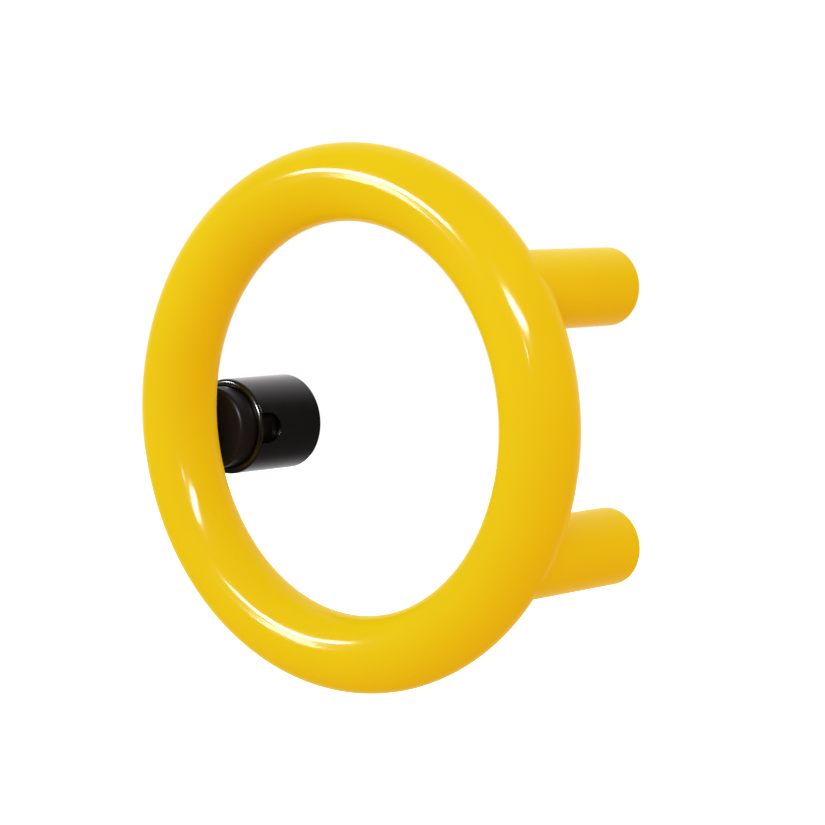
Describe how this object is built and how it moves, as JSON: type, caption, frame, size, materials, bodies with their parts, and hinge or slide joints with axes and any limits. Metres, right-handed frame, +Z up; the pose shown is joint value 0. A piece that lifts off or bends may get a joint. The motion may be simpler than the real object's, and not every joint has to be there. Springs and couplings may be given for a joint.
{
  "type": "wall-mounted ring handle",
  "caption": "Glossy yellow ring handle held off the wall on two posts, facing a black wall post with a sprung rubber buffer that closes the gap behind the ring.",
  "frame": {"origin": "on the ring's axis, at the wall face", "axes": "+Y into the wall, the ring faces -Y, +Z up, +X towards the two posts; the gate post is at -X"},
  "size_m": [0.2376, 0.0865, 0.233],
  "materials": {
    "yellow_nylon": "glossy moulded nylon",
    "black_nylon": "semi-gloss moulded nylon",
    "black_acetal": "satin turned acetal",
    "buffer_rubber": "satin rubber",
    "seal_rubber": "matt rubber",
    "core_steel": "bright drawn steel",
    "bright_steel": "zinc-plated",
    "spring_steel": "drawn spring wire",
    "cast_aluminium": "turned casting",
    "bronze": "sintered"
  },
  "bodies": {
    "fixed": {"ring_sleeve": "yellow_nylon", "ring_core": "core_steel", "upper_boss": "core_steel", "lower_boss": "core_steel", "upper_post_sleeve": "yellow_nylon", "lower_post_sleeve": "yellow_nylon", "upper_post_core": "core_steel", "lower_post_core": "core_steel", "upper_post_bolt": "bright_steel", "lower_post_bolt": "bright_steel", "upper_bolt_washer": "bright_steel", "lower_bolt_washer": "bright_steel", "upper_wall_base": "cast_aluminium", "lower_wall_base": "cast_aluminium", "upper_grub_screw": "bright_steel", "lower_grub_screw": "bright_steel", "upper_wall_gasket": "seal_rubber", "lower_wall_gasket": "seal_rubber", "gate_sleeve": "black_nylon", "gate_bezel": "black_nylon", "gate_wiper": "seal_rubber", "gate_base": "cast_aluminium", "gate_gasket": "seal_rubber", "gate_grub_screw": "bright_steel", "gate_shoulder_bolt": "bright_steel", "gate_spring": "spring_steel"},
    "plunger": {"plunger_carrier": "black_acetal", "plunger_bush": "bronze", "buffer_cap": "buffer_rubber"}
  },
  "joints": [
    {"name": "gate_press", "type": "slide", "parent": "fixed", "child": "plunger", "axis": [0, 1, 0], "range_m": [0, 0.008], "stiffness_N_per_m": 600, "springref_m": -0.012, "deforming": ["gate_spring"]}
  ]
}
